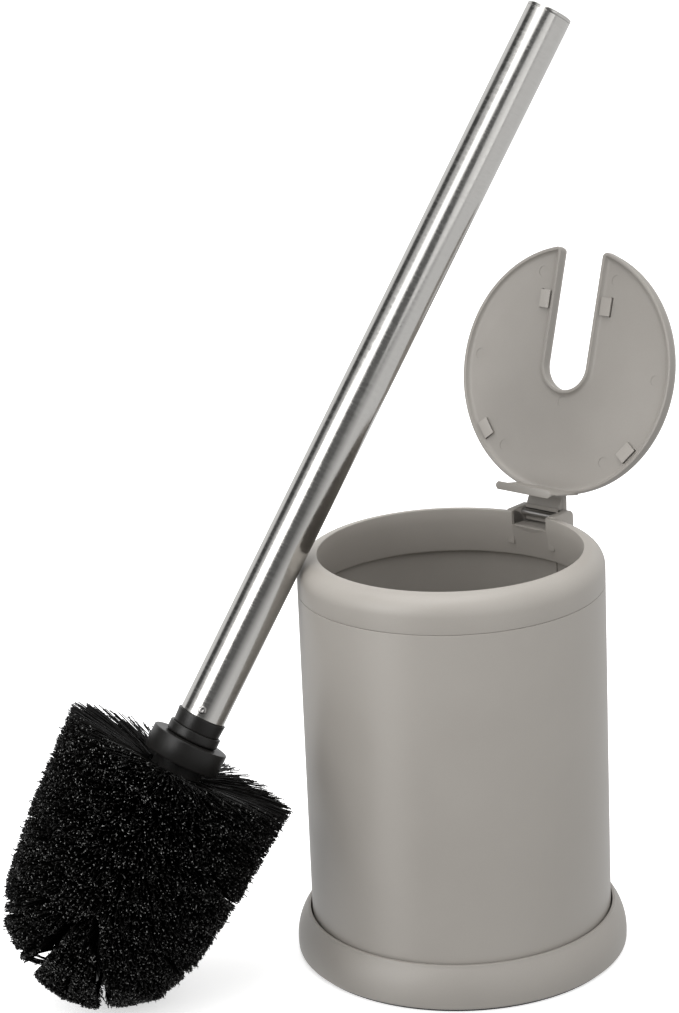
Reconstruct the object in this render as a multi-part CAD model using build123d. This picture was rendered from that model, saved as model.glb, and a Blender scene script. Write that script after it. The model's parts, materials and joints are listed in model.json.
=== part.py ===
from build123d import *
import os
from math import asin, cos, degrees, radians, sin

# Toilet brush holder with a self-closing slotted lid, and its brush.
# Millimetres, +Z up. The origin is the centre of the base's underside and the
# lid hinges at the back (+Y). At rest the lid leans open against its stop and
# the brush stands on the floor beside the holder, its handle on the rim.

# ---- driving dimensions: holder ----
body_radius = 50.5
sheet = 0.5
base_radius = 55.6
base_height = 15.1
foot_height = 1.0
seam_height = 127.6
rim_height = 139.8
shoulder_height = 133.0
opening_radius = 43.6
skirt_radius = 46.6
skirt_bottom = 123.6

# ---- driving dimensions: lid and hinge ----
hinge_y = 49.6
hinge_z = 138.2
pin_radius = 1.25
running_gap = 0.05
arm_width = 13.5
notch_width = 14.2
ear_width = 2.6
lid_radius = 42.3
lid_underside = 139.35
lid_thickness = 4.4
lip = 1.4
slot_width = 17.8
slot_end_y = 6.8
open_angle = 106.7
tongue_width = 25.0
tongue_depth = 13.5
tongue_thickness = 1.0
tongue_draft = 3.4

# ---- driving dimensions: brush ----
handle_radius = 7.6
handle_length = 254.0
handle_wall = 0.6
handle_foot = (-49.67, -69.42, 92.85)
lean = 31.8
lean_heading = 64.8
rivet_turn = 145
hub_radius = 12.9
core_radius = 8.5
head_radius = 38.5
head_end = -103.8
bristle_rows = 8
tufts_per_row = 10

# ---- worked out from the driving dimensions ----
hinge_axis = Axis((0, hinge_y, hinge_z), (1, 0, 0))
tube_foot = foot_height + 2.05
land_face_y = 41.7
land_top = rim_height - 4.7
notch_floor = hinge_z - 3.4
plate_bottom = lid_underside + 1.2
plate_top = lid_underside + 2.55
lid_top = lid_underside + lid_thickness
rivet_height = 2.7
flange_depth = 4.7
neck_depth = 8.4
hub_depth = 16.0
bristle_top = -17.0


def turned(section):
    """Solid of revolution about Z of a half section drawn in radius and height."""
    return revolve(Plane.XZ * section, Axis.Z)


def tube(outer, inner, bottom, top):
    """Round tube about Z between two heights."""
    wall = Circle(outer) - Circle(inner)
    return Pos(0, 0, bottom) * extrude(wall, top - bottom)


def block(x, y, z):
    """Box from its low and high limits along each axis."""
    size = [high - low for low, high in (x, y, z)]
    middle = [(low + high) / 2 for low, high in (x, y, z)]
    return Pos(*middle) * Box(*size)


def canister_body():
    """Rolled sheet tube; its lap seam runs down the inside at the back."""
    shell = tube(body_radius, body_radius - sheet, tube_foot, seam_height - 0.05)
    inside = body_radius - sheet
    lap_ring = tube(inside + 0.1, inside - sheet, tube_foot + 6.5, skirt_bottom - 0.3)
    lap = lap_ring & block((-2, 7), (0, body_radius), (0, seam_height))
    return shell + lap


def canister_floor():
    """Pressed sheet pan, flange down, closing the lower end of the tube."""
    outer = body_radius - sheet - 0.05
    floor_top = tube_foot + 4.5
    outline = Polyline(
        (0, floor_top), (outer, floor_top), (outer, tube_foot + 0.4),
        (outer - 0.6, tube_foot + 0.4), (outer - 0.6, floor_top - 0.6),
        (0, floor_top - 0.6), close=True)
    return turned(make_face(outline))


def base_pan():
    """Moulded base: a flat web inside a flared skirt with a thin upper lip."""
    flare = ThreePointArc((base_radius, 3.6), (54.6, 9.9), (51.95, base_height - 0.3))
    toe = ThreePointArc((base_radius - 0.9, foot_height), (base_radius - 0.2, 1.7), (base_radius, 3.6))
    rest = Polyline(
        flare @ 1, (51.1, base_height), (51.1, 5.0), (body_radius + 0.05, 5.0),
        (body_radius + 0.05, tube_foot - 0.05), (0, tube_foot - 0.05),
        (0, foot_height), toe @ 0)
    return turned(make_face([toe, flare, rest]))


def foot_disc():
    """Non-slip sheet stuck under the base."""
    return extrude(Circle(base_radius - 1.6), foot_height)


def collar_ring():
    """Rounded rim whose skirt plugs into the canister, without its hinge."""
    shoulder = EllipticalCenterArc(
        (opening_radius, shoulder_height), body_radius - opening_radius,
        rim_height - shoulder_height, start_angle=0, arc_size=90)
    plug = body_radius - sheet - 0.1
    walls = Polyline(
        shoulder @ 1, (opening_radius, land_top), (skirt_radius, skirt_bottom),
        (plug, skirt_bottom), (plug, seam_height), (body_radius, seam_height),
        shoulder @ 0)
    return turned(make_face([shoulder, walls]))


def hinge_ear(side):
    """Upright ear that carries one end of the pin; side is -1 or 1."""
    back = hinge_y + 5.9
    top = hinge_z + 1.9
    corner = 2.5
    arc = ThreePointArc(
        (back, top - corner),
        (back - corner * (1 - cos(radians(45))), top - corner * (1 - sin(radians(45)))),
        (back - corner, top))
    rest = Polyline(
        arc @ 1, (hinge_y - 5, top), (hinge_y - 5, seam_height + 2),
        (body_radius - 0.5, seam_height + 0.4), (back, seam_height + 6), arc @ 0)
    profile = make_face([arc, rest])
    inner = side * (notch_width / 2)
    ear = extrude(Plane.YZ * profile, ear_width)
    return Pos(inner - (ear_width if side < 0 else 0), 0, 0) * ear


def stop_land():
    """Ledge inside the back wall that stops the lid's tongue; it tapers into the wall below."""
    back = skirt_radius + 1
    foot = skirt_bottom + 2
    section = Polyline(
        (land_face_y, land_top), (back, land_top), (back, foot), (skirt_radius - 1, foot), close=True)
    wedge = extrude(Plane.YZ * make_face(section), 20, both=True)
    return wedge & Pos(0, 0, foot) * extrude(Circle(back), land_top - foot)


def top_collar():
    """Moulded rim with its hinge notch, two ears and pin holes."""
    collar = collar_ring() + stop_land() + hinge_ear(-1) + hinge_ear(1)
    half = notch_width / 2
    collar -= block((-half, half), (40, 60), (notch_floor, rim_height + 5))
    pin_hole = Pos(0, hinge_y, hinge_z) * Rot(0, 90, 0) * Cylinder(pin_radius, 40)
    return collar - pin_hole


def hinge_pin():
    """Steel pin pressed into both ears."""
    length = notch_width + 2 * ear_width - 0.4
    return Pos(0, hinge_y, hinge_z) * Rot(0, 90, 0) * Cylinder(pin_radius, length)


def lid_outline(radius, half_slot, tip_radius=1.5):
    """Disc with a U-slot that is open at the front and ends past the centre."""
    arc_y = slot_end_y - slot_width / 2
    slot = Pos(0, arc_y) * Circle(half_slot)
    slot += Pos(0, arc_y - radius) * Rectangle(2 * half_slot, 2 * radius)
    outline = Circle(radius) - slot
    tips = outline.vertices().filter_by(lambda v: v.Y < -0.8 * radius)
    return fillet(tips, tip_radius)


def tab_places():
    """Where the cover's folded tabs come through, with the way each one points."""
    front = [(side * 14.3, -23.0, 180 if side > 0 else 0) for side in (-1, 1)]
    back = [(side * 30.4, 25.1, 219.5 if side > 0 else -39.5) for side in (-1, 1)]
    return front + back


def lid_arm():
    """Hinge arm hooked over the pin, with its stop heel, at the lid's open position."""
    front = hinge_y + 3.3
    half = arm_width / 2
    top = hinge_z + 7.3
    arm = block((-half, half), (front, front + 3), (hinge_z - 5, top))
    arm += block((-half, half), (hinge_y, front + 1), (hinge_z - 1.8, hinge_z + 2.9))
    arm += block((-half, half), (body_radius + 0.3, front + 1), (hinge_z - 6.4, hinge_z - 3.8))
    arm += Pos(0, hinge_y, hinge_z) * Rot(0, 90, 0) * Cylinder(2.9, arm_width)
    bore = Pos(0, hinge_y, hinge_z) * Rot(0, 90, 0) * Cylinder(pin_radius + running_gap, 40)
    open_front = block((-half, half), (hinge_y - 5, hinge_y), (hinge_z - 5, hinge_z - 0.35))
    return arm - bore - open_front


def lid_shell():
    """Moulded lid: ribbed plate, boss for the cover, tongue, arm and barrel."""
    half = slot_width / 2
    plate = Pos(0, 0, plate_bottom) * extrude(lid_outline(lid_radius, half), plate_top - plate_bottom)
    rib = lid_outline(lid_radius, half) - lid_outline(lid_radius - lip, half + lip)
    shell = plate + Pos(0, 0, lid_underside) * extrude(rib, 1.2)
    boss = lid_outline(lid_radius - 0.85, half + 0.7)
    shell += Pos(0, 0, plate_top) * extrude(boss, lid_top - 0.65 - plate_top)
    tongue_face = land_face_y - 0.6
    tongue = block(
        (-tongue_width / 2, tongue_width / 2),
        (tongue_face - tongue_thickness, tongue_face),
        (lid_underside - tongue_depth, plate_bottom))
    shell += tongue.rotate(Axis((0, tongue_face, lid_underside), (1, 0, 0)), tongue_draft)
    for x, y, turn in tab_places():
        shell -= Pos(x, y, lid_underside) * Rot(0, 0, turn) * Box(0.9, 6.6, 12)
    arm = lid_arm().rotate(hinge_axis, open_angle)
    cap_space = Pos(0, 0, plate_top) * extrude(Circle(lid_radius - 0.15), 4)
    return shell + (arm - cap_space)


def folded_tab():
    """One tab: a strip down through the plate, folded flat under it."""
    strip = block((-0.25, 0.25), (-3.1, 3.1), (plate_bottom - 0.55, lid_top - 0.5))
    fold = block((-0.25, 3.8), (-3.1, 3.1), (plate_bottom - 0.55, plate_bottom - 0.05))
    return strip + fold


def lid_cover():
    """Painted sheet cap pressed over the lid and held by its four tabs."""
    half = slot_width / 2 + 0.05
    bottom = plate_top + 0.05
    cap = Pos(0, 0, bottom) * extrude(lid_outline(lid_radius - 0.2, half), lid_top - bottom)
    cap = fillet(cap.edges().group_by(Axis.Z)[-1], 0.9)
    hollow = lid_outline(lid_radius - 0.8, half + 0.6)
    cap -= Pos(0, 0, bottom) * extrude(hollow, lid_top - 0.6 - bottom)
    for x, y, turn in tab_places():
        cap += Pos(x, y, 0) * Rot(0, 0, turn) * folded_tab()
    return cap


def handle_tube():
    """Stainless tube, drilled for the two rivets near its lower end."""
    pipe = tube(handle_radius, handle_radius - handle_wall, 0, handle_length - 1.8)
    return pipe - rivet_shanks(1.0)


def handle_cap():
    """Slightly crowned end cap with a plug that fits inside the tube."""
    seat = handle_length - 1.75
    rise = 0.6
    crown_radius = (handle_radius ** 2 + rise ** 2) / (2 * rise)
    spread = degrees(asin(handle_radius / crown_radius))
    crown = CenterArc((0, handle_length - crown_radius), crown_radius, 90 - spread, spread)
    inner = handle_radius - handle_wall - 0.05
    rest = Polyline(
        crown @ 1, (0, seat - 7), (inner, seat - 7), (inner, seat),
        (handle_radius, seat), crown @ 0)
    return turned(make_face([crown, rest]))


def rivet_shanks(radius):
    """Rivet holes or shanks on one line across the handle's lower end."""
    shanks = Pos(0, 0, rivet_height) * Rot(90, 0, 0) * Cylinder(radius, 2 * handle_radius)
    return shanks - Cylinder(5.0, 40)


def plug_rivets():
    """Two domed rivets that hold the plug in the tube, one on each side."""
    heads = Pos(0, 0, rivet_height) * Rot(90, 0, 0) * Cylinder(1.35, 2 * handle_radius + 0.9)
    heads -= Cylinder(handle_radius + 0.02, 40)
    shank_line = Pos(0, 0, rivet_height) * Rot(90, 0, 0) * Cylinder(0.95, 2 * handle_radius + 0.5)
    return heads + (shank_line - Cylinder(5.0, 40))


def handle_plug():
    """Insert pressed into the tube, with a flange and a socket for the stud."""
    inner = handle_radius - handle_wall - 0.05
    body = tube(inner, 4.15, 0, 22)
    body += tube(handle_radius + 0.55, 4.15, -flange_depth, -0.05)
    body += tube(inner, 4.15, -0.1, 0.1)
    return body - rivet_shanks(1.0)


def core_shape():
    """Neck, hub and the round core that the tufts are set in."""
    neck = 8.8
    end = CenterArc((0, head_end + 15), core_radius, 0, -90)
    rest = Polyline(
        end @ 1, (0, -flange_depth - 0.05), (neck - 0.4, -flange_depth - 0.05),
        (neck, -flange_depth - 0.5), (neck, -neck_depth + 1.0), (neck - 0.5, -neck_depth),
        (hub_radius - 0.5, -neck_depth), (hub_radius, -neck_depth - 0.5),
        (hub_radius, -hub_depth), (core_radius, -hub_depth), end @ 0)
    return turned(make_face([end, rest]))


def tuft_places():
    """Row height, turn and staple centre radius of every tuft."""
    rows = range(bristle_rows)
    pitch = (head_end + 17 - bristle_top) / bristle_rows
    return [
        (bristle_top + pitch * (row + 0.5), 360 / tufts_per_row * (spoke + row % 2 / 2))
        for row in rows for spoke in range(tufts_per_row)]


def spokes(shape):
    """The shape repeated at every tuft, pointing outwards from the core."""
    return Compound([Pos(0, 0, z) * Rot(0, 0, turn) * shape for z, turn in tuft_places()])


def head_core():
    """Black moulded core with its stud socket, tuft holes and staple slits."""
    core = core_shape() - Pos(0, 0, -11) * Cylinder(4.05, 20)
    hole = Pos(core_radius - 1, 0, 0) * Rot(0, 90, 0) * Cylinder(1.2, 3)
    slit = Pos(core_radius - 3.2, 0, 0) * Box(2.0, 2.2, 0.6)
    return core - spokes(hole) - spokes(slit)


def tuft_staples():
    """Wire staples driven into the core, one to each tuft."""
    return spokes(Pos(core_radius - 3.2, 0, 0) * Box(1.9, 2.1, 0.5))


def head_stud():
    """Steel stud moulded in the hub; it screws into the handle plug."""
    return Pos(0, 0, -4) * Cylinder(4.0, 32)


def bristle_envelope():
    """Outer form of all the bristles together, hollow round the core."""
    top_edge = bristle_top - 2
    side = Spline(
        (head_radius, top_edge), (head_radius - 1.5, -48), (head_radius - 5, -77),
        (head_radius - 18.5, -95.8), (0, head_end), tangents=((0, -1), (-1, 0)))
    rest = Polyline(side @ 1, (0, bristle_top), (hub_radius + 2, bristle_top), side @ 0)
    field = turned(make_face([side, rest]))
    clearance = core_radius + 0.1
    core_end = head_end + 6.4
    return field - Pos(0, 0, core_end / 2) * Cylinder(clearance, -core_end)


def bristle_row(index):
    """One row of tufts: a slice of the envelope."""
    pitch = (head_end + 17 - bristle_top) / bristle_rows
    top = bristle_top + pitch * index
    bottom = head_end - 1 if index == bristle_rows - 1 else top + pitch + 0.1
    wide = 2 * head_radius + 10
    slab = Pos(0, 0, (top + bottom) / 2) * Box(wide, wide, top - bottom)
    return bristle_envelope() & slab


def brush_place():
    """From the brush's own frame, handle along +Z, to where it stands at rest."""
    return Pos(*handle_foot) * Rot(0, 0, lean_heading) * Rot(0, lean, 0) * Rot(0, 0, rivet_turn)


def holder_nodes():
    """Everything that stays still."""
    return {
        "canister_body": canister_body(),
        "canister_floor": canister_floor(),
        "base_pan": base_pan(),
        "foot_disc": foot_disc(),
        "top_collar": top_collar(),
        "hinge_pin": hinge_pin(),
    }


def lid_nodes():
    """The lid's two pieces, swung from closed to their open rest position."""
    closed = {"lid_shell": lid_shell(), "lid_cover": lid_cover()}
    return {name: shape.rotate(hinge_axis, -open_angle) for name, shape in closed.items()}


def brush_nodes():
    """The brush's pieces, leaning against the rim."""
    upright = {
        "handle_tube": handle_tube(),
        "handle_cap": handle_cap(),
        "handle_plug": handle_plug(),
        "plug_rivets": plug_rivets(),
        "head_core": head_core(),
        "head_stud": head_stud(),
        "tuft_staples": tuft_staples(),
    }
    for index in range(bristle_rows):
        upright[f"bristle_row_{index + 1}"] = bristle_row(index)
    return {name: brush_place() * shape for name, shape in upright.items()}


os.makedirs("parts", exist_ok=True)
for name, shape in {**holder_nodes(), **lid_nodes(), **brush_nodes()}.items():
    export_step(shape, f"parts/{name}.step")
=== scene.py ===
import json
import math
import bpy
import numpy as np
from mathutils import Matrix, Vector


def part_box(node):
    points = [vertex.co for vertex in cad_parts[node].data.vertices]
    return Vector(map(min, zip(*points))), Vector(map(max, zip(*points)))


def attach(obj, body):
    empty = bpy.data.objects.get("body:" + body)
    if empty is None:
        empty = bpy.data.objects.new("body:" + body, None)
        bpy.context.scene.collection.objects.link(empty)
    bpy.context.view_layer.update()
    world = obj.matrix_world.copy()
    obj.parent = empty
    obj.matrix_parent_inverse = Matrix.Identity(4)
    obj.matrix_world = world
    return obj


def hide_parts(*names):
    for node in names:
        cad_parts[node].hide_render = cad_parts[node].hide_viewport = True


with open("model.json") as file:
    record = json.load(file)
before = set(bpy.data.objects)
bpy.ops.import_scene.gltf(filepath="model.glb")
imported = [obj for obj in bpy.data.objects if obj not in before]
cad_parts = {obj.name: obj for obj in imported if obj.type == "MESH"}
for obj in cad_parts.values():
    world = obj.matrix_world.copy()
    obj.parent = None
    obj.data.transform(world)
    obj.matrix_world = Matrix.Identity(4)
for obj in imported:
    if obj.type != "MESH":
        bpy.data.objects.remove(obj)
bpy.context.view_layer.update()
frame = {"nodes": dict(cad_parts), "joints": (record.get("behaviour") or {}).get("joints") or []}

# The holder's CAD parts, kept to read sizes and places from.
# Everything below is in metres, in the holder's own frame.
bpy.ops.object.select_all(action="DESELECT")


# ---- Canister ----
# A tube of thin painted sheet, rolled and lapped; the lap runs down the inside at the back.
# The tube is raised ring by ring, its top edge rolled a little so that a fine groove shows
# where the collar sits on it.

def rounded(centre_radius, centre_height, size, start, end, steps):
    """Rings along an arc: the angle is 0 outwards and 90 upwards, in degrees."""
    wide, high = size if isinstance(size, tuple) else (size, size)
    rings = []
    for step in range(steps + 1):
        angle = math.radians(start + (end - start) * step / steps)
        rings.append((centre_radius + wide * math.cos(angle),
                      centre_height + high * math.sin(angle)))
    return rings


def deselect():
    """Leave edit mode with nothing selected."""
    if bpy.context.object and bpy.context.object.mode == "EDIT":
        bpy.ops.object.mode_set(mode="OBJECT")
    bpy.ops.object.select_all(action="DESELECT")


def raise_rings(name, rings, segments=192, closed=False):
    """Round piece about Z: a circle extruded and scaled to each ring (radius, height)."""
    deselect()
    radius, height = rings[0]
    bpy.ops.mesh.primitive_circle_add(vertices=segments, radius=radius, location=(0, 0, height))
    piece = bpy.context.object
    piece.name = name
    piece.data.name = name
    bpy.ops.object.transform_apply(location=True, rotation=True, scale=True)
    bpy.ops.object.mode_set(mode="EDIT")
    bpy.ops.mesh.select_all(action="SELECT")
    for next_radius, next_height in rings[1:] + (rings[:1] if closed else []):
        rise = (0, 0, next_height - height)
        bpy.ops.mesh.extrude_region_move(TRANSFORM_OT_translate={"value": rise})
        factor = next_radius / radius
        bpy.ops.transform.resize(value=(factor, factor, 1), center_override=(0, 0, next_height))
        radius, height = next_radius, next_height
    bpy.ops.mesh.select_all(action="SELECT")
    bpy.ops.mesh.remove_doubles(threshold=2e-6)
    if not closed:
        bpy.ops.mesh.fill_holes(sides=0)
    bpy.ops.mesh.select_all(action="SELECT")
    bpy.ops.mesh.normals_make_consistent(inside=False)
    bpy.ops.object.mode_set(mode="OBJECT")
    return piece


def smooth(piece, angle=32):
    """Smooth shading, with creases kept sharper than the angle."""
    deselect()
    piece.select_set(True)
    bpy.context.view_layer.objects.active = piece
    bpy.ops.object.shade_smooth_by_angle(angle=math.radians(angle))


def grain_group():
    """Fine unevenness of a finish: shade, roughness and bump height from one pattern."""
    group = bpy.data.node_groups.new("finish grain", "ShaderNodeTree")
    for label in ("Scale", "Cloud", "Low roughness", "High roughness"):
        group.interface.new_socket(label, in_out="INPUT", socket_type="NodeSocketFloat")
    group.interface.new_socket("Vector", in_out="INPUT", socket_type="NodeSocketVector")
    for label in ("Shade", "Roughness", "Height"):
        group.interface.new_socket(label, in_out="OUTPUT", socket_type="NodeSocketFloat")
    source = group.nodes.new("NodeGroupInput")
    result = group.nodes.new("NodeGroupOutput")
    fine = group.nodes.new("ShaderNodeTexNoise")
    fine.inputs["Detail"].default_value = 3
    cloud = group.nodes.new("ShaderNodeTexNoise")
    cloud.inputs["Detail"].default_value = 4
    spread = group.nodes.new("ShaderNodeMapRange")
    both = group.nodes.new("ShaderNodeMath")
    both.operation = "MULTIPLY_ADD"
    both.inputs[1].default_value = 0.35
    link = group.links.new
    link(source.outputs["Vector"], fine.inputs["Vector"])
    link(source.outputs["Vector"], cloud.inputs["Vector"])
    link(source.outputs["Scale"], fine.inputs["Scale"])
    link(source.outputs["Cloud"], cloud.inputs["Scale"])
    link(fine.outputs["Fac"], both.inputs[0])
    link(cloud.outputs["Fac"], both.inputs[2])
    link(cloud.outputs["Fac"], spread.inputs["Value"])
    spread.inputs["From Min"].default_value = 0.3
    spread.inputs["From Max"].default_value = 0.7
    link(source.outputs["Low roughness"], spread.inputs["To Min"])
    link(source.outputs["High roughness"], spread.inputs["To Max"])
    link(both.outputs[0], result.inputs["Shade"])
    link(spread.outputs[0], result.inputs["Roughness"])
    link(fine.outputs["Fac"], result.inputs["Height"])
    return group


finish_grain = grain_group()


def grained_finish(name, dark, light, grain, roughness, bump, metal=0.0, specular=0.5,
                   attribute=None, stretch=(1, 1, 1)):
    """A finish whose colour, gloss and relief follow the grain (fine scale, cloud scale)."""
    finish = bpy.data.materials.new(name)
    finish.use_nodes = True
    nodes, link = finish.node_tree.nodes, finish.node_tree.links.new
    shader = nodes["Principled BSDF"]
    shader.inputs["Metallic"].default_value = metal
    shader.inputs["Specular IOR Level"].default_value = specular
    place = nodes.new("ShaderNodeAttribute" if attribute else "ShaderNodeTexCoord")
    if attribute:
        place.attribute_name = attribute
    mapping = nodes.new("ShaderNodeMapping")
    mapping.inputs["Scale"].default_value = stretch
    pattern = nodes.new("ShaderNodeGroup")
    pattern.node_tree = finish_grain
    pattern.inputs["Scale"].default_value = grain[0]
    pattern.inputs["Cloud"].default_value = grain[1]
    pattern.inputs["Low roughness"].default_value = roughness[0]
    pattern.inputs["High roughness"].default_value = roughness[1]
    shade = nodes.new("ShaderNodeMix")
    shade.data_type = "RGBA"
    shade.inputs[6].default_value = (*dark, 1)
    shade.inputs[7].default_value = (*light, 1)
    relief = nodes.new("ShaderNodeBump")
    relief.inputs["Strength"].default_value = bump[0]
    relief.inputs["Distance"].default_value = bump[1]
    link(place.outputs["Vector" if attribute else "Object"], mapping.inputs["Vector"])
    link(mapping.outputs["Vector"], pattern.inputs["Vector"])
    link(pattern.outputs["Shade"], shade.inputs[0])
    link(shade.outputs[2], shader.inputs["Base Color"])
    link(pattern.outputs["Roughness"], shader.inputs["Roughness"])
    link(pattern.outputs["Height"], relief.inputs["Height"])
    link(relief.outputs["Normal"], shader.inputs["Normal"])
    return finish


def finish_with(piece, *materials):
    """Gives a piece its materials, in slot order."""
    piece.data.materials.clear()
    for material in materials:
        piece.data.materials.append(material)


satin_paint = grained_finish("satin greige paint", (0.330, 0.308, 0.280), (0.385, 0.361, 0.331),
                             (2600, 30), (0.34, 0.42), (0.05, 0.0001))
MM = 0.001
shell_low, shell_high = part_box("canister_body")
shell_radius = shell_high.x
sheet = 0.5 * MM
roll = 0.22 * MM
shell_inside = shell_radius - sheet
shell = raise_rings("canister_shell", (
    rounded(shell_radius - roll, shell_low.z + roll, roll, -90, 0, 3)
    + rounded(shell_radius - roll, shell_high.z - roll, roll, 0, 90, 4)
    + [(shell_inside, shell_high.z), (shell_inside, shell_low.z)]), closed=True)
lap_left, lap_right, lap_top = -2 * MM, 7 * MM, 0.1234
lap = raise_rings("lap", [(shell_inside + 0.1 * MM, shell_low.z + 6.5 * MM),
                          (shell_inside + 0.1 * MM, lap_top)], segments=720)
bpy.ops.object.mode_set(mode="EDIT")
for edge, normal, keep_beyond in (((lap_left, 0, 0), (1, 0, 0), True),
                                  ((lap_right, 0, 0), (1, 0, 0), False),
                                  ((0, 0.01, 0), (0, 1, 0), True)):
    bpy.ops.mesh.select_all(action="SELECT")
    bpy.ops.mesh.bisect(plane_co=edge, plane_no=normal, clear_inner=keep_beyond,
                        clear_outer=not keep_beyond)
bpy.ops.object.mode_set(mode="OBJECT")


def drop_faces(piece, unwanted):
    """Deletes the faces for which unwanted(face) is true."""
    deselect()
    bpy.context.view_layer.objects.active = piece
    bpy.ops.object.mode_set(mode="EDIT")
    bpy.ops.mesh.select_mode(type="FACE")
    bpy.ops.mesh.select_all(action="DESELECT")
    bpy.ops.object.mode_set(mode="OBJECT")
    for face in piece.data.polygons:
        face.select = unwanted(face)
    bpy.ops.object.mode_set(mode="EDIT")
    bpy.ops.mesh.delete(type="FACE")
    bpy.ops.mesh.select_mode(type="VERT")
    bpy.ops.object.mode_set(mode="OBJECT")


def modified(piece, kind, **settings):
    """Adds a modifier with these settings and applies it."""
    deselect()
    piece.select_set(True)
    bpy.context.view_layer.objects.active = piece
    modifier = piece.modifiers.new(kind.lower(), kind)
    for setting, value in settings.items():
        setattr(modifier, setting, value)
    bpy.ops.object.modifier_apply(modifier=modifier.name)


def joined(piece, *others):
    """The other meshes made part of this one."""
    deselect()
    for other in others:
        other.select_set(True)
    piece.select_set(True)
    bpy.context.view_layer.objects.active = piece
    bpy.ops.object.join()
    return piece


drop_faces(lap, lambda face: abs(face.normal.z) > 0.5)
modified(lap, "SOLIDIFY", thickness=0.6 * MM, offset=-1)
joined(shell, lap)
smooth(shell)
finish_with(shell, satin_paint)
finish_with(frame["nodes"]["canister_floor"], satin_paint)


def belongs(piece, body, slot, *nodes):
    """The piece moves with a body and stands for CAD nodes, which are hidden; slot is not used."""
    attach(piece, body)
    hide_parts(*nodes)


belongs(shell, "holder", "painted_steel", "canister_body")

# ---- Base ring ----
# Moulded in the collar's greige plastic, coloured darker than the collar as painted shade: a
# flared skirt with a thin upright lip that the canister stands in, and a rubber sheet stuck under
# it. The lid's moulded half is of the same plastic and has the same painted shade.
base_low, base_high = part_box("base_pan")
base_radius = base_high.x


def arc_through(first, middle, last, steps):
    """Rings on the circle through three points (radius, height), first to last."""
    (ax, ay), (bx, by), (cx, cy) = first, middle, last
    d = 2 * (ax * (by - cy) + bx * (cy - ay) + cx * (ay - by))
    a2, b2, c2 = ax * ax + ay * ay, bx * bx + by * by, cx * cx + cy * cy
    ux = (a2 * (by - cy) + b2 * (cy - ay) + c2 * (ay - by)) / d
    uy = (a2 * (cx - bx) + b2 * (ax - cx) + c2 * (bx - ax)) / d
    start = math.degrees(math.atan2(ay - uy, ax - ux))
    end = math.degrees(math.atan2(cy - uy, cx - ux))
    return rounded(ux, uy, math.hypot(ax - ux, ay - uy), start, end, steps)


lip_top = base_high.z
tray_top, groove_top = 3 * MM, 5 * MM
skirt = arc_through((base_radius, base_low.z + 2.6 * MM),
                    (base_radius - 1.0 * MM, base_low.z + 8.9 * MM),
                    (base_radius - 3.65 * MM, lip_top - 0.35 * MM), 14)
lip = rounded(base_radius - 3.95 * MM, lip_top - 0.3 * MM, 0.3 * MM, 20, 90, 4)
toe = rounded(base_radius - 0.9 * MM, base_low.z + 1.0 * MM, (0.85 * MM, 1.0 * MM), -90, 0, 6)
base = raise_rings("base_ring", (
    [(1 * MM, base_low.z)] + toe + skirt + lip
    + [(shell_radius + 0.62 * MM, lip_top), (shell_radius + 0.55 * MM, lip_top - 0.15 * MM),
       (shell_radius + 0.55 * MM, groove_top), (shell_radius + 0.05 * MM, groove_top),
       (shell_radius + 0.05 * MM, tray_top), (1 * MM, tray_top)]), segments=224)
smooth(base, 38)
# The collar's greige scaled down to about 0.82: painted shade on the same plastic.
greige_with_painted_shade = grained_finish("greige plastic with painted shade", (0.283, 0.264, 0.240), (0.328, 0.307, 0.281),
                             (1800, 45), (0.36, 0.46), (0.08, 0.0001))
finish_with(base, greige_with_painted_shade)
belongs(base, "holder", "greige_plastic", "base_pan")

foot_rubber = grained_finish("foot rubber", (0.02, 0.02, 0.02), (0.04, 0.04, 0.04),
                             (1500, 60), (0.6, 0.8), (0.2, 0.0001))
finish_with(frame["nodes"]["foot_disc"], foot_rubber)

# ---- Top collar ----
# Moulded plastic rim over the canister's upper edge: an upright band, a broad rounded shoulder
# down to the mouth, and a skirt inside. A notch at the back takes the lid's arm between two
# ears, and a ledge below the notch stops the lid's tongue.
moulded_greige = grained_finish("moulded greige plastic", (0.345, 0.322, 0.292),
                                (0.400, 0.375, 0.343), (1800, 45), (0.36, 0.46), (0.08, 0.0001))
collar_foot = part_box("top_collar")[0].z
seam = shell_high.z + 0.05 * MM
rim = 139.8 * MM
mouth = 43.6 * MM
shoulder = 133.0 * MM
ledge_top = rim - 4.7 * MM
skirt_inside, skirt_outside = 46.6 * MM, shell_inside - 0.1 * MM
notch = 7.1 * MM
hinge = next(joint for joint in frame["joints"] if joint["name"] == "lid_hinge")
hinge_point = Vector(hinge["pos_m"])
collar = raise_rings("top_collar_moulding", (
    rounded(shell_radius - 0.3 * MM, seam + 0.3 * MM, 0.3 * MM, -90, 0, 4)
    + rounded(mouth + 0.35 * MM, shoulder,
              (shell_radius - mouth - 0.35 * MM, rim - shoulder), 0, 90, 22)
    + rounded(mouth + 0.35 * MM, rim - 0.35 * MM, 0.35 * MM, 112, 180, 4)
    + [(mouth, ledge_top), (skirt_inside, collar_foot + 0.3 * MM),
       (skirt_inside + 0.3 * MM, collar_foot), (skirt_outside, collar_foot),
       (skirt_outside, seam)]), segments=224, closed=True)


def box(name, x, y, z, edge=0.0):
    """Block between limits along each axis, its edges rounded by edge."""
    deselect()
    middle = [(low + high) / 2 for low, high in (x, y, z)]
    bpy.ops.mesh.primitive_cube_add(size=1, location=middle)
    piece = bpy.context.object
    piece.name = name
    piece.scale = [high - low for low, high in (x, y, z)]
    bpy.ops.object.transform_apply(location=True, rotation=True, scale=True)
    if edge:
        modified(piece, "BEVEL", width=edge, segments=2, limit_method="ANGLE")
    return piece


def cut(piece, cutter):
    """Takes the cutter's shape out of the piece."""
    modified(piece, "BOOLEAN", object=cutter, operation="DIFFERENCE", solver="EXACT")
    bpy.data.objects.remove(cutter)


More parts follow.
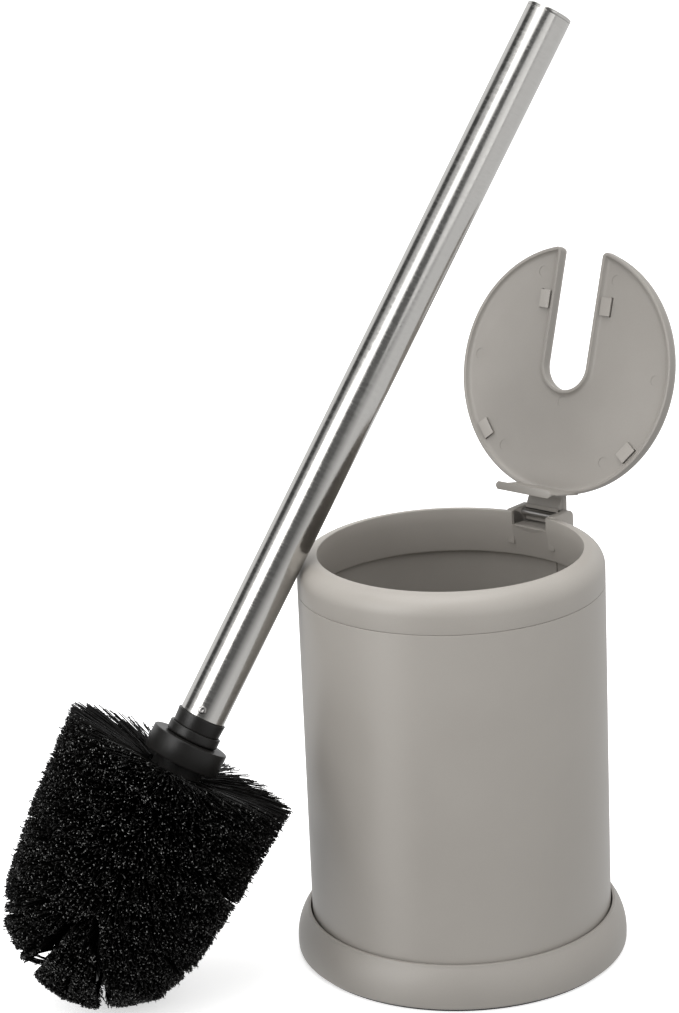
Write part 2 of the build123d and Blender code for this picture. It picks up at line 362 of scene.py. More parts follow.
cut(collar, box("notch", (-notch, notch), (40 * MM, 60 * MM),
                (hinge_point.z - 3.4 * MM, 150 * MM)))


def corners_near(piece, test):
    """Selects in edit mode the edges whose both ends pass the test."""
    deselect()
    bpy.context.view_layer.objects.active = piece
    piece.select_set(True)
    bpy.ops.object.mode_set(mode="EDIT")
    bpy.ops.mesh.select_mode(type="EDGE")
    bpy.ops.mesh.select_all(action="DESELECT")
    bpy.ops.object.mode_set(mode="OBJECT")
    for edge in piece.data.edges:
        edge.select = all(test(piece.data.vertices[v].co) for v in edge.vertices)
    bpy.ops.object.mode_set(mode="EDIT")


def shift_corners(piece, test, offset):
    """Moves the edges whose both ends pass the test."""
    corners_near(piece, test)
    bpy.ops.transform.translate(value=offset)
    bpy.ops.object.mode_set(mode="OBJECT")


def round_corners(piece, test, radius, steps):
    """Rounds the edges whose both ends pass the test."""
    corners_near(piece, test)
    bpy.ops.mesh.bevel(offset=radius, segments=steps, affect="EDGES")
    bpy.ops.object.mode_set(mode="OBJECT")


def hinge_ear(side):
    """One upright ear, rounded at its outer top and sloped off below."""
    inner = side * notch
    wide = sorted((inner, inner + side * 2.6 * MM))
    back, top, foot = hinge_point.y + 5.9 * MM, hinge_point.z + 1.9 * MM, seam + 0.5 * MM
    ear = box(f"ear_{side}", wide, (hinge_point.y - 5.6 * MM, back), (foot, top))
    round_corners(ear, lambda co: co.y > back - 1e-6 and co.z > top - 1e-6, 2.5 * MM, 8)
    bpy.ops.object.mode_set(mode="EDIT")
    bpy.ops.mesh.select_all(action="SELECT")
    bpy.ops.mesh.bisect(plane_co=(0, shell_radius - 0.4 * MM, foot), plane_no=(0, 0.72, -0.69),
                        use_fill=True, clear_outer=True)
    bpy.ops.object.mode_set(mode="OBJECT")
    modified(ear, "BEVEL", width=0.25 * MM, segments=2, limit_method="ANGLE",
             angle_limit=math.radians(40))
    return ear


ledge = box("ledge", (-19 * MM, 19 * MM), (43.0 * MM, 46.2 * MM),
            (ledge_top - 4 * MM, ledge_top))
shift_corners(ledge, lambda co: co.y < 43.5 * MM and co.z < ledge_top - 1 * MM, (0, 2.4 * MM, 0))
modified(ledge, "BEVEL", width=0.2 * MM, segments=2, limit_method="ANGLE")
joined(collar, hinge_ear(-1), hinge_ear(1), ledge)
smooth(collar, 30)
finish_with(collar, moulded_greige)
belongs(collar, "holder", "greige_plastic", "top_collar")

# ---- Hinge pin ----
# A plain steel pin pressed through both ears, its ends flush with them. The stud and the
# staples hidden inside the brush head are of the same bare steel.
steel_pin = grained_finish("pin steel", (0.36, 0.35, 0.34), (0.44, 0.43, 0.42), (2500, 60),
                           (0.25, 0.35), (0.1, 0.0001), metal=1.0)
for node in ("hinge_pin", "head_stud", "tuft_staples"):
    finish_with(frame["nodes"][node], steel_pin)

# ---- Lid, moulded half ----
# A disc with a U-slot for the brush handle and a soft raised lip round its edge. It is modelled
# closed, flat over the mouth, and swung to its open stop about the hinge. Four slits take the
# cover's tabs; a tongue and a hooked arm are moulded on at the back.
lid_radius = 42.3 * MM
lid_low = 139.35 * MM
plate_top = lid_low + 2.55 * MM
tongue_y = 41.1 * MM
slot_half = 8.5 * MM
slot_centre_y = 6.8 * MM - slot_half
lid_swing = (Matrix.Translation(hinge_point)
             @ Matrix.Rotation(-math.radians(hinge["range_deg"][1]), 4, Vector(hinge["axis"]))
             @ Matrix.Translation(-hinge_point))


def cylinder(name, radius, low, high, sides, place=(0, 0)):
    """Upright closed cylinder between two heights."""
    deselect()
    bpy.ops.mesh.primitive_cylinder_add(vertices=sides, radius=radius, depth=high - low,
                                        location=(*place, (low + high) / 2))
    piece = bpy.context.object
    piece.name = name
    bpy.ops.object.transform_apply(location=True, rotation=True, scale=True)
    return piece


def slotted_outline(inset):
    """Points round the slotted disc's edge, with rounded tips, drawn in by an inset."""
    radius, half = lid_radius - inset, slot_half + inset
    corner = max(1.7 * MM - inset, 0.15 * MM)
    tip_x = half + corner
    tip_y = -math.sqrt((radius - corner) ** 2 - tip_x ** 2)
    turn = math.degrees(math.atan2(tip_y, tip_x))
    outline = rounded(0, 0, radius, turn, 180 - turn, 190)
    outline += rounded(-tip_x, tip_y, corner, 180 - turn, 360, 10)[1:]
    outline += rounded(0, slot_centre_y, half, 180, 0, 48)
    return outline + rounded(tip_x, tip_y, corner, 180, 360 + turn, 10)[:-1]


def slotted_disc(name, steps):
    """Closed disc with the handle's U-slot, through steps (inset, height) from below."""
    outlines = [slotted_outline(inset) for inset, _ in steps]
    count = len(outlines[0])
    disc = raise_rings(name, [(1.0, 0.1 * index) for index in range(len(steps))], segments=count)
    for vertex in disc.data.vertices:
        ring = round(vertex.co.z / 0.1)
        spoke = round(math.atan2(vertex.co.y, vertex.co.x) / (2 * math.pi) * count) % count
        vertex.co = (*outlines[ring][spoke], steps[ring][1])
    return disc


lip_steps = [(3.0, 1.17), (2.3, 1.10), (1.75, 0.88), (1.4, 0.5), (1.15, 0.1), (0.95, 0.0),
             (0.45, 0.0), (0.2, 0.06), (0.05, 0.22), (0, 0.5)]
lid = slotted_disc("lid_moulding", [(inset * MM, lid_low + up * MM) for inset, up in lip_steps]
                   + [(0, plate_top)])
tab_places = [(side * x * MM, y * MM, turn if side > 0 else 180 - turn)
              for x, y, turn in ((14.3, -23.0, 180), (30.4, 25.1, 219.5)) for side in (-1, 1)]
for x, y, turn in tab_places:
    slit = box("slit", (-0.45 * MM, 0.45 * MM), (-3.3 * MM, 3.3 * MM), (-6 * MM, 3 * MM))
    slit.data.transform(Matrix.Translation((x, y, lid_low))
                        @ Matrix.Rotation(math.radians(turn), 4, "Z"))
    cut(lid, slit)
for x, y in ((15, -32), (-15, -32), (36.3, -1), (-36.3, -1), (20.6, 28.7), (-20.6, 28.7),
             (0.6, 10.9)):
    cut(lid, cylinder("mark", 1.9 * MM, lid_low, lid_low + 1.29 * MM, 32, (x * MM, y * MM)))
tongue = box("tongue", (-12.5 * MM, 12.5 * MM), (-0.8 * MM, 0), (-13.3 * MM, 1.2 * MM))
round_corners(tongue, lambda co: co.z < -13 * MM and abs(co.x) > 12 * MM, 2.0 * MM, 6)
shift_corners(tongue, lambda co: co.y < -0.5 * MM and co.z < -11 * MM, (0, 0.4 * MM, 0))
modified(tongue, "BEVEL", width=0.12 * MM, segments=2, limit_method="ANGLE",
         angle_limit=math.radians(40))
tongue.data.transform(Matrix.Translation((0, tongue_y, lid_low))
                      @ Matrix.Rotation(math.radians(3.0), 4, "X"))
joined(lid, tongue)
lid.data.transform(lid_swing)

arm_half = 6.75 * MM
arm_inside, arm_front = hinge_point.y + 0.8 * MM, hinge_point.y + 3.3 * MM
arm = box("arm", (-arm_half, arm_half), (arm_front, arm_front + 3 * MM),
          (hinge_point.z - 5 * MM, hinge_point.z + 7.4 * MM), 0.25 * MM)
fill = box("arm_root", (-arm_half, arm_half), (arm_inside, arm_front + 1 * MM),
           (hinge_point.z - 1.8 * MM, hinge_point.z + 1.6 * MM), 0.2 * MM)
heel = box("heel", (-arm_half, arm_half), (shell_radius + 0.3 * MM, arm_front + 1 * MM),
           (hinge_point.z - 6.4 * MM, hinge_point.z - 3.8 * MM), 0.25 * MM)
barrel = cylinder("barrel", 2.9 * MM, -arm_half, arm_half, 64)
barrel.data.transform(Matrix.Translation(hinge_point) @ Matrix.Rotation(math.pi / 2, 4, "Y"))
for part in (barrel, fill):
    cut(part, box("open_front", (-10 * MM, 10 * MM), (hinge_point.y - 6 * MM, arm_inside),
                  (hinge_point.z - 6 * MM, hinge_point.z + 6 * MM)))
    bore = cylinder("bore", 1.3 * MM, -20 * MM, 20 * MM, 48)
    bore.data.transform(Matrix.Translation(hinge_point) @ Matrix.Rotation(math.pi / 2, 4, "Y"))
    cut(part, bore)
web = box("web", (-arm_half, arm_half), (arm_inside, arm_front + 0.4 * MM),
          (hinge_point.z + 1.0 * MM, hinge_point.z + 6.0 * MM))
shift_corners(web, lambda co: co.y < arm_front - 1 * MM and co.z > hinge_point.z + 5 * MM,
              (0, 2.6 * MM, 0))
joined(lid, arm, fill, heel, barrel, web)
smooth(lid, 30)
# The lid's moulding takes the darkened greige: painted shade, the plastic is the collar's.
finish_with(lid, greige_with_painted_shade)
belongs(lid, "lid", "greige_plastic", "lid_shell")

# ---- Lid, steel cover ----
# Painted sheet pressed over the moulded half, its edge turned down, and held by four tabs
# that go through the slits and are folded flat; their sheared ends are bare steel.
cover_top = plate_top + 1.85 * MM
tab_height = lid_low + 0.40 * MM
cap_steps = [(0.2, -1.8), (0.2, -0.8), (0.26, -0.5), (0.43, -0.23), (0.7, -0.06), (1.0, 0)]
cover = slotted_disc("lid_cap", [(inset * MM, cover_top + up * MM) for inset, up in cap_steps])
tabs = []
for x, y, turn in tab_places:
    tab = box("tab", (-0.2 * MM, 3.8 * MM), (-3.1 * MM, 3.1 * MM), (0, 0.5 * MM))
    round_corners(tab, lambda co: co.x > 3.5 * MM, 0.2 * MM, 2)
    stem = box("stem", (-0.25 * MM, 0.25 * MM), (-3.1 * MM, 3.1 * MM), (0.2 * MM, 3 * MM),
               0.1 * MM)
    tab.data.transform(Matrix.Rotation(math.radians(3), 4, "Y"))
    joined(tab, stem)
    tab.data.transform(Matrix.Translation((x, y, tab_height))
                       @ Matrix.Rotation(math.radians(turn), 4, "Z"))
    tabs.append(tab)
tab_group = joined(tabs[0], *tabs[1:])
for piece in (cover, tab_group):
    piece.data.transform(lid_swing)
    smooth(piece, 30)
finish_with(cover, satin_paint)
bare_steel = grained_finish("bare sheared steel", (0.45, 0.44, 0.42), (0.6, 0.59, 0.57),
                            (3000, 90), (0.3, 0.4), (0.1, 0.0001), metal=1.0)
finish_with(tab_group, satin_paint, bare_steel)
lid_normal = lid_swing.to_3x3() @ Vector((0, 0, 1))
for face in tab_group.data.polygons:
    face.material_index = 1 if abs(face.normal.dot(lid_normal)) < 0.8 else 0
tab_group.name = "lid_tabs"
belongs(cover, "lid", "painted_steel", "lid_cover")
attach(tab_group, "lid")

# ---- Brush handle ----
# A stainless tube, closed by a slightly crowned cap. The brush leans on the rim, so its pieces
# are modelled upright, about Z with the tube's lower end at the origin, and then carried
# to where the tube stands.


def corners_of(node):
    """The node's vertices as an array."""
    mesh = frame["nodes"][node].data
    points = np.zeros(len(mesh.vertices) * 3)
    mesh.vertices.foreach_get("co", points)
    return points.reshape(-1, 3)


def long_axis(points):
    """Unit vector of the longest extent of some points."""
    return Vector(np.linalg.svd(points - points.mean(0), full_matrices=False)[2][0])


tube_points = corners_of("handle_tube")
tube_up = long_axis(tube_points)
tube_up *= 1 if tube_up.z > 0 else -1
rivet_line = long_axis(corners_of("plug_rivets"))
rivet_line = (rivet_line - rivet_line.dot(tube_up) * tube_up).normalized()
rivet_line *= 1 if rivet_line.y < 0 else -1
heights = tube_points @ np.array(tube_up)
at_foot = tube_points[heights < heights.min() + 0.02 * MM]
tube_foot = Vector((at_foot.min(0) + at_foot.max(0)) / 2)
tube_foot += tube_up * (heights.min() - tube_foot.dot(tube_up))
tube_length = heights.max() - heights.min()
brush_frame = Matrix.Translation(tube_foot) @ Matrix(
    (rivet_line, tube_up.cross(rivet_line), tube_up)).transposed().to_4x4()
tube_radius = 7.6 * MM


def placed(piece):
    """Keeps the upright coordinates for the finish, then carries the piece to its place."""
    points = np.zeros(len(piece.data.vertices) * 3, np.float32)
    piece.data.vertices.foreach_get("co", points)
    piece.data.attributes.new("upright", "FLOAT_VECTOR", "POINT").data.foreach_set("vector", points)
    piece.data.transform(brush_frame)
    return piece


steel = grained_finish("brushed steel", (0.50, 0.49, 0.47), (0.58, 0.57, 0.55), (1, 0.35),
                       (0.10, 0.26), (0.22, 0.00002), metal=1.0, attribute="upright",
                       stretch=(700, 700, 4200))
tube = raise_rings("handle_pipe", (
    rounded(tube_radius - 0.15 * MM, 0.15 * MM, 0.15 * MM, -90, 0, 3)
    + rounded(tube_radius - 0.12 * MM, tube_length - 0.12 * MM, 0.12 * MM, 0, 90, 3)
    + [(tube_radius - 0.6 * MM, tube_length), (tube_radius - 0.6 * MM, 0)]),
    segments=128, closed=True)
smooth(tube, 40)
placed(tube)
finish_with(tube, steel)
belongs(tube, "brush", "brushed_steel", "handle_tube")
cap_seat = tube_length + 0.05 * MM
cap_top = tube_length + 1.8 * MM
crown = [(radius * MM, cap_top - 0.6 * MM * (radius / 7.1) ** 2)
         for radius in (6.4, 5.4, 4.4, 3.2, 2.0, 0.9)]
cap = raise_rings("handle_end_cap", (
    [(1 * MM, cap_seat - 7 * MM), (6.9 * MM, cap_seat - 7 * MM), (6.9 * MM, cap_seat)]
    + rounded(tube_radius - 0.12 * MM, cap_seat + 0.12 * MM, 0.12 * MM, -90, 0, 3)
    + rounded(tube_radius - 0.35 * MM, cap_top - 0.95 * MM, 0.35 * MM, 0, 78, 5)
    + crown), segments=128)
smooth(cap, 40)
placed(cap)
finish_with(cap, steel)
belongs(cap, "brush", "brushed_steel", "handle_cap")

# ---- Plug and rivets ----
# A black insert closes the tube's lower end with a flange, and two domed rivets, one on each
# side, hold it. The rivets' heads have a small dimple from the punch.
black_moulding = grained_finish("black moulding", (0.008, 0.008, 0.008), (0.018, 0.017, 0.016),
                                (2200, 80), (0.30, 0.42), (0.12, 0.0001), specular=0.3)
flange_low = -4.7 * MM
plug = raise_rings("handle_insert", (
    [(1 * MM, flange_low)]
    + rounded(7.95 * MM - 0.2 * MM, flange_low + 0.2 * MM, 0.2 * MM, -90, 0, 3)
    + [(8.15 * MM, -0.9 * MM)]
    + rounded(8.25 * MM - 0.15 * MM, -0.2 * MM, 0.15 * MM, 0, 90, 3)
    + [(6.9 * MM, -0.05 * MM), (6.9 * MM, 22 * MM), (1 * MM, 22 * MM)]), segments=96)
smooth(plug, 35)
placed(plug)
finish_with(plug, black_moulding)
belongs(plug, "brush", "black_plastic", "handle_plug")
rivet_height = 2.7 * MM
heads = []
for side in (1, -1):
    head = raise_rings(f"rivet_{side}", [
        (0.4 * MM, -0.6 * MM), (1.35 * MM, -0.6 * MM), (1.35 * MM, 0.12 * MM),
        (1.22 * MM, 0.34 * MM),
        (0.95 * MM, 0.47 * MM), (0.62 * MM, 0.50 * MM), (0.5 * MM, 0.40 * MM),
        (0.3 * MM, 0.28 * MM)], segments=40)
    head.data.transform(Matrix.Translation((side * tube_radius, 0, rivet_height))
                        @ Matrix.Rotation(side * math.pi / 2, 4, "Y"))
    heads.append(head)
rivets = joined(*heads)
rivets.name = "rivet_heads"
smooth(rivets, 35)
placed(rivets)
finish_with(rivets, steel_pin)
belongs(rivets, "brush", "pin_steel", "plug_rivets")

# ---- Brush head core ----
# One black moulding: a neck ring under the flange, a broad hub, and the round core that the
# tufts are set in, which ends in a dome.
neck_low, hub_low, core_end = -8.4 * MM, -16.0 * MM, -88.8 * MM
neck_radius, hub_radius, core_radius = 8.8 * MM, 12.9 * MM, 8.5 * MM
core = raise_rings("head_moulding", (
    [(1 * MM, flange_low - 0.05 * MM)]
    + rounded(neck_radius - 0.25 * MM, flange_low - 0.3 * MM, 0.25 * MM, 90, 0, 3)
    + rounded(neck_radius - 0.7 * MM, neck_low + 0.9 * MM, 0.7 * MM, 0, -75, 5)
    + [(8.05 * MM, neck_low)]
    + rounded(hub_radius - 0.45 * MM, neck_low - 0.45 * MM, 0.45 * MM, 90, 0, 5)
    + rounded(hub_radius - 0.3 * MM, hub_low + 0.3 * MM, 0.3 * MM, 0, -90, 3)
    + [(core_radius, hub_low)]
    + rounded(0, core_end, core_radius, 0, -84, 9)), segments=112)
smooth(core, 35)
placed(core)
finish_with(core, black_moulding)
belongs(core, "brush", "black_plastic", "head_core")

# ---- Bristles ----
# Stiff black nylon, set in eight rows of tufts round the core and trimmed to one rounded form.
# Each bristle is a thin three-sided strand with a cut tip; strands of a tuft fan out from its
# hole and wave a little, and partings stay open between the tufts at the lower end.
trim = [(0.0152, 0.0402), (0.0200, 0.0397), (0.0490, 0.0379), (0.0750, 0.0344),
        (0.0880, 0.0292), (0.0955, 0.0205), (0.1000, 0.0133), (0.1036, 0.0)]
trim_depth, trim_radius = (np.array(column) for column in zip(*trim))
trim_run = np.concatenate([[0], np.cumsum(np.hypot(np.diff(trim_depth), np.diff(trim_radius)))])
rows_of_tufts = 8
tufts_in_row = 10
strands_in_tuft = 270
first_hole = 0.0214
hole_pitch = 0.008725
strand_radius = 0.00019
corners_in_strand = 15
end_tufts = 9
strands_in_end_tuft = 150
end_hole_radius, end_hole_depth = 0.0045, 0.0945
even_steps = (0.7548777, 0.5698403)
chance = np.random.default_rng(7)

# The clefts are laid out on the side of the head that faces this way; each is given by its
# middle's depth, its heading in degrees, where it starts and how wide it opens.
cleft_side = Vector((0.62315, -0.72447, 0.2947))
outward = np.array(brush_frame.to_3x3().inverted() @ cleft_side)
rightward = np.array(brush_frame.to_3x3().inverted() @ Vector((-cleft_side.y, cleft_side.x, 0)))
partings = [(0.062, 26, 0.008, 0.0013), (0.062, -13, 0.014, 0.0010), (0.062, -51, 0.016, 0.0005),
            (0.062, -44, 0.026, 0.0004), (0.047, -79, 0.031, 0.0003), (0.023, 53, 0.031, 0.0002),
            (0.056, 55, 0.028, 0.0003), (0.062, 8, 0.029, 0.0003), (0.060, -28, 0.030, 0.0003)]


def part_strands(roots, tips):
    """Opens narrow clefts between the tufts, each a plane that runs out from near the core."""
    down = np.array([0.0, 0.0, -1.0]) + outward[2] * outward
    down /= np.linalg.norm(down)
    side = np.cross(outward, down)
    side *= np.sign(side @ rightward)
    for depth, heading, start, gap in partings:
        middle = np.array([0.0, 0.0, -depth]) - 0.0046 * side * (depth > 0.06)
        angle = math.radians(heading)
        along = down * math.cos(angle) + side * math.sin(angle)
        normal = np.cross(outward, along)
        reach = (tips - middle) @ along
        apart = (tips - middle) @ normal
        root_apart = (roots - middle) @ normal
        half = gap * np.clip(reach / 0.03, 0, 1.3)
        side_of = np.where(np.abs(root_apart) > 0.001, np.sign(root_apart), np.sign(apart))
        near = (reach > start) & (np.abs(apart) < 4.5 * half)
        pushed = side_of * (half + np.abs(apart) * 0.78)
        loose = chance.random(len(tips)) < 0.03
        tips = tips + np.where(near & ~loose, pushed - apart, 0)[:, None] * normal
    return tips


def strand_paths(hole, spread, run_low, run_high, turn, half_turn, count):
    """Roots and tips of one tuft's strands; the tips are spread evenly over its patch."""
    order = np.arange(count) + chance.random() * 97
    run = (run_low + (run_high - run_low) * ((order * even_steps[0]) % 1)
           + chance.normal(0, 0.0006, count))
    angle = turn + half_turn * (2 * ((order * even_steps[1]) % 1) - 1)
    run = np.clip(run, 0.0, trim_run[-1])
    depth = np.interp(run, trim_run, trim_depth)
    radius = np.interp(run, trim_run, trim_radius)
    angle = angle + chance.normal(0, 0.0006, count) / np.maximum(radius, 0.004)
    length = 1.0 - np.abs(chance.normal(0, 0.024, count))
    length += (chance.random(count) < 0.04) * chance.uniform(0.01, 0.045, count)
    tip = np.stack([radius * np.cos(angle), radius * np.sin(angle), -depth], 1)
    root = np.tile(hole, (count, 1)) + chance.normal(0, spread, (count, 3))
    tip = part_strands(root, root + (tip - root) * length[:, None])
    root_height, tip_height = (brush_frame.to_translation().z
                               + points @ np.array(brush_frame.to_3x3()[2])
                               for points in (root, tip))
    kept = np.clip((root_height - 0.0004) / np.maximum(root_height - tip_height, 1e-6), 0, 1)
    tip = root + (tip - root) * kept[:, None]
    return root, tip, run


def strand_mesh(name, roots, tips, rises):
    """One mesh of all the strands: five rings of three corners each, and a cut tip with a painted
    highlight.
    """
    count = len(roots)
    along = np.array([0, 0.36, 0.7, 0.988, 1])
    line = roots[:, None] * (1 - along)[None, :, None] + tips[:, None] * along[None, :, None]
    arch = (4 * along * (1 - along))[None, :, None]
    line = line + arch * rises[:, None]
    direction = tips - roots
    direction /= np.linalg.norm(direction, axis=1)[:, None]
    side = np.cross(direction, [0.0, 0.0, 1.0])
    side /= np.maximum(np.linalg.norm(side, axis=1), 1e-9)[:, None]
    up = np.cross(side, direction)
    wave = chance.normal(0, 0.00022, (count, 5, 2)) * along[None, :, None]
    line = line + wave[..., :1] * side[:, None] + wave[..., 1:] * up[:, None]
    start = chance.uniform(0, 2 * math.pi, count)
    corner = start[:, None] + np.arange(3)[None] * 2 * math.pi / 3
    size = strand_radius * chance.uniform(0.85, 1.15, count)
    across = (np.cos(corner)[..., None] * side[:, None] + np.sin(corner)[..., None] * up[:, None])
    rings = line[:, :, None] + across[:, None] * size[:, None, None, None]
    points = rings.reshape(-1, 3)
    faces = []
    first = np.arange(count) * corners_in_strand
    quads = [(r * 3 + c, r * 3 + (c + 1) % 3, r * 3 + 3 + (c + 1) % 3, r * 3 + 3 + c)
             for r in range(4) for c in range(3)]
    for quad in quads:
        faces.append(first[:, None] + np.array(quad)[None])
    faces = np.concatenate(faces)
    caps = first[:, None] + np.array([12, 13, 14])[None]
    mesh = bpy.data.meshes.new(name)
    mesh.from_pydata(points, [], [list(map(int, f)) for f in (*faces, *caps)])
    # Each tip cap gets a random lightness: a painted highlight for light caught on the cut end.
    glint_on_tips = np.zeros(len(points), np.float32)
    glint_on_tips.reshape(-1, corners_in_strand)[:, 12:] = chance.random((count, 1)) ** 4
    mesh.attributes.new("painted_tip_glint", "FLOAT", "POINT").data.foreach_set("value", glint_on_tips)
    mesh.polygons.foreach_set("use_smooth",
                              np.r_[np.ones(len(faces), bool), np.zeros(len(caps), bool)])
    piece = bpy.data.objects.new(name, mesh)
    bpy.context.scene.collection.objects.link(piece)
    mesh.transform(brush_frame)
    return piece


nylon = grained_finish("black nylon", (0.002, 0.002, 0.002), (0.005, 0.0046, 0.0042), (800, 60),
                       (0.36, 0.48), (0.0, 0.0001), specular=0.12)
nylon_nodes, nylon_link = nylon.node_tree.nodes, nylon.node_tree.links.new
# The tip caps are mixed towards grey by that attribute: a painted highlight, not the nylon's
# colour.
glint_attribute = nylon_nodes.new("ShaderNodeAttribute")
glint_attribute.attribute_name = "painted_tip_glint"
glint_mix = nylon_nodes.new("ShaderNodeMix")
glint_mix.data_type = "RGBA"
tip_power = nylon_nodes.new("ShaderNodeMath")
tip_power.operation = "POWER"
tip_power.inputs[1].default_value = 1.5
nylon_link(glint_attribute.outputs["Fac"], tip_power.inputs[0])
nylon_link(tip_power.outputs[0], glint_mix.inputs[0])
nylon_link(nylon_nodes["Mix"].outputs[2], glint_mix.inputs[6])
glint_mix.inputs[7].default_value = (0.34, 0.34, 0.33, 1)
nylon_link(glint_mix.outputs[2], nylon_nodes["Principled BSDF"].inputs["Base Color"])

side_run = trim_run[-1] * 0.80
for row in range(rows_of_tufts):
    low_run, high_run = side_run * row / rows_of_tufts, side_run * (row + 1) / rows_of_tufts
    roots, tips, rises = [], [], []
    for spoke in range(tufts_in_row):
        turn = 2 * math.pi / tufts_in_row * (spoke + row % 2 / 2)
        depth = first_hole + hole_pitch * row
        hole = (core_radius * math.cos(turn), core_radius * math.sin(turn), -depth)
        width = math.pi / tufts_in_row * (1.12 if row < 5 else 0.98)
        root, tip, run = strand_paths(hole, 0.0006, low_run - 0.002 * (row > 0), high_run + 0.002,
                                      turn, width, strands_in_tuft)
        roots.append(root)
        tips.append(tip)
        lift = np.clip(1 - run / 0.012, 0, 1) * 0.0008
        rises.append(np.stack([lift * 0, lift * 0, lift], 1))
    if row == rows_of_tufts - 1:
        for spoke in range(end_tufts):
            turn = 2 * math.pi / end_tufts * (spoke + 0.3)
            hole = (end_hole_radius * math.cos(turn), end_hole_radius * math.sin(turn),
                    -end_hole_depth)
            root, tip, run = strand_paths(hole, 0.0008, side_run - 0.001, trim_run[-1], turn,
                                          math.pi / end_tufts * 0.93, strands_in_end_tuft)
            roots.append(root)
            tips.append(tip)
            rises.append(np.zeros((strands_in_end_tuft, 3)))
    piece = strand_mesh(f"bristles_{row + 1}", np.concatenate(roots), np.concatenate(tips),
                        np.concatenate(rises))
    finish_with(piece, nylon)
    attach(piece, "brush")
    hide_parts(f"bristle_row_{row + 1}")

# ---- Studio ----
# A white floor that only the camera sees, a broad lamp overhead and two smaller ones at the
# side and the left, and a surround: a soft gradient lights the matt surfaces, and light and
# dark bands round the handle are what the steel reflects.
deselect()
bpy.ops.mesh.primitive_plane_add(size=8, location=(0, 0, 0))
floor = bpy.context.object
floor.name = "floor"
paper = bpy.data.materials.new("white paper")
paper.use_nodes = True
paper_shader = paper.node_tree.nodes["Principled BSDF"]
paper_shader.inputs["Base Color"].default_value = (0.90, 0.90, 0.90, 1)
paper_shader.inputs["Roughness"].default_value = 0.9
paper_shader.inputs["Emission Color"].default_value = (1, 1, 1, 1)
paper_shader.inputs["Emission Strength"].default_value = 0.55
finish_with(floor, paper)
floor.visible_diffuse = False
floor.visible_glossy = False

camera_place = Vector((0.5652, -0.7115, 0.4357))
ahead = (-cleft_side).normalized()
level_right = ahead.cross(Vector((0, 0, 1))).normalized()
level_up = level_right.cross(ahead)
tilt = math.radians(-2.51)
right = level_right * math.cos(tilt) + level_up * math.sin(tilt)
up = level_up * math.cos(tilt) - level_right * math.sin(tilt)
camera_data = bpy.data.cameras.new("camera")
camera_data.lens = 103.88
camera_data.sensor_width = 36
camera = bpy.data.objects.new("camera", camera_data)
bpy.context.scene.collection.objects.link(camera)
camera.matrix_world = (Matrix.Translation(camera_place)
                       @ Matrix((right, up, -ahead)).transposed().to_4x4())
bpy.context.scene.camera = camera

world = bpy.data.worlds.new("surround")
bpy.context.scene.world = world
world.use_nodes = True
world_nodes, world_link = world.node_tree.nodes, world.node_tree.links.new
background = world_nodes["Background"]
direction = world_nodes.new("ShaderNodeTexCoord")
to_camera = camera_place - tube_foot
to_camera = (to_camera - to_camera.dot(tube_up) * tube_up).normalized()
to_right = tube_up.cross(to_camera)
around = world_nodes.new("ShaderNodeMath")
around.operation = "ARCTAN2"
for index, vector in enumerate((to_right, to_camera)):
    dot = world_nodes.new("ShaderNodeVectorMath")
    dot.operation = "DOT_PRODUCT"
    dot.inputs[1].default_value = vector
    world_link(direction.outputs["Generated"], dot.inputs[0])
    world_link(dot.outputs["Value"], around.inputs[index])
turned = world_nodes.new("ShaderNodeMapRange")
turned.inputs["From Min"].default_value = -math.pi
turned.inputs["From Max"].default_value = math.pi
world_link(around.outputs[0], turned.inputs["Value"])
bands = world_nodes.new("ShaderNodeValToRGB")
surround_strength = 2.5
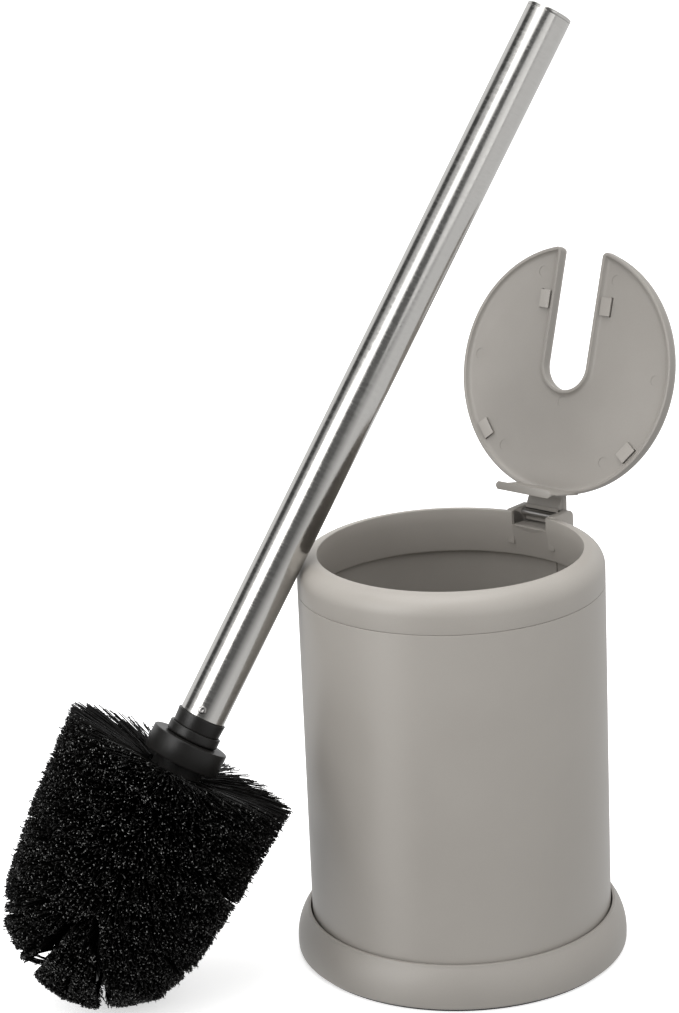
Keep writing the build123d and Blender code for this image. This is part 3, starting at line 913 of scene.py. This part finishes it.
band_brightness = [(-180, 0.85), (-118, 0.95), (-112, 0.08), (-87, 0.08), (-78, 0.65), (-58, 0.70),
                   (-52, 2.2), (-31, 2.2), (-24, 0.15), (8, 0.15), (30, 0.50), (50, 0.80),
                   (180, 0.80)]
while len(bands.color_ramp.elements) < len(band_brightness):
    bands.color_ramp.elements.new(0.5)
for element, (angle, value) in zip(bands.color_ramp.elements, band_brightness):
    element.position = (angle + 180) / 360
    element.color = (*[value / surround_strength] * 3, 1)
world_link(turned.outputs[0], bands.inputs[0])
seen = world_nodes.new("ShaderNodeLightPath")
backdrop = world_nodes.new("ShaderNodeMix")
backdrop.data_type = "RGBA"
backdrop.inputs[7].default_value = (0.6, 0.6, 0.6, 1)
world_link(seen.outputs["Is Camera Ray"], backdrop.inputs[0])
world_link(bands.outputs[0], backdrop.inputs[6])
height = world_nodes.new("ShaderNodeSeparateXYZ")
world_link(direction.outputs["Generated"], height.inputs[0])
ambient = world_nodes.new("ShaderNodeMapRange")
ambient.inputs["From Min"].default_value = -0.6
ambient.inputs["From Max"].default_value = 0.6
ambient.inputs["To Min"].default_value = 0.17
ambient.inputs["To Max"].default_value = 0.395
world_link(height.outputs["Z"], ambient.inputs["Value"])
filled = world_nodes.new("ShaderNodeMix")
filled.data_type = "RGBA"
world_link(seen.outputs["Is Diffuse Ray"], filled.inputs[0])
world_link(backdrop.outputs[2], filled.inputs[6])
world_link(ambient.outputs[0], filled.inputs[7])
world_link(filled.outputs[2], background.inputs["Color"])
background.inputs["Strength"].default_value = surround_strength


def lamp(name, place, size, power):
    """Square soft lamp aimed at the middle of the object."""
    data = bpy.data.lights.new(name, "AREA")
    data.size = size
    data.energy = power
    light = bpy.data.objects.new(name, data)
    bpy.context.scene.collection.objects.link(light)
    light.location = place
    light.rotation_mode = "QUATERNION"
    light.rotation_quaternion = (Vector(place) - Vector((0, 0, 0.1))).to_track_quat("Z", "Y")


lamp("overhead lamp", (-0.15, -0.15, 1.5), 1.2, 8.5)
lamp("side lamp", (1.3, -0.55, 0.75), 0.8, 1.6)
lamp("left lamp", (-0.35, -1.5, 0.62), 0.9, 6.2)
bpy.context.scene.view_settings.view_transform = "Standard"
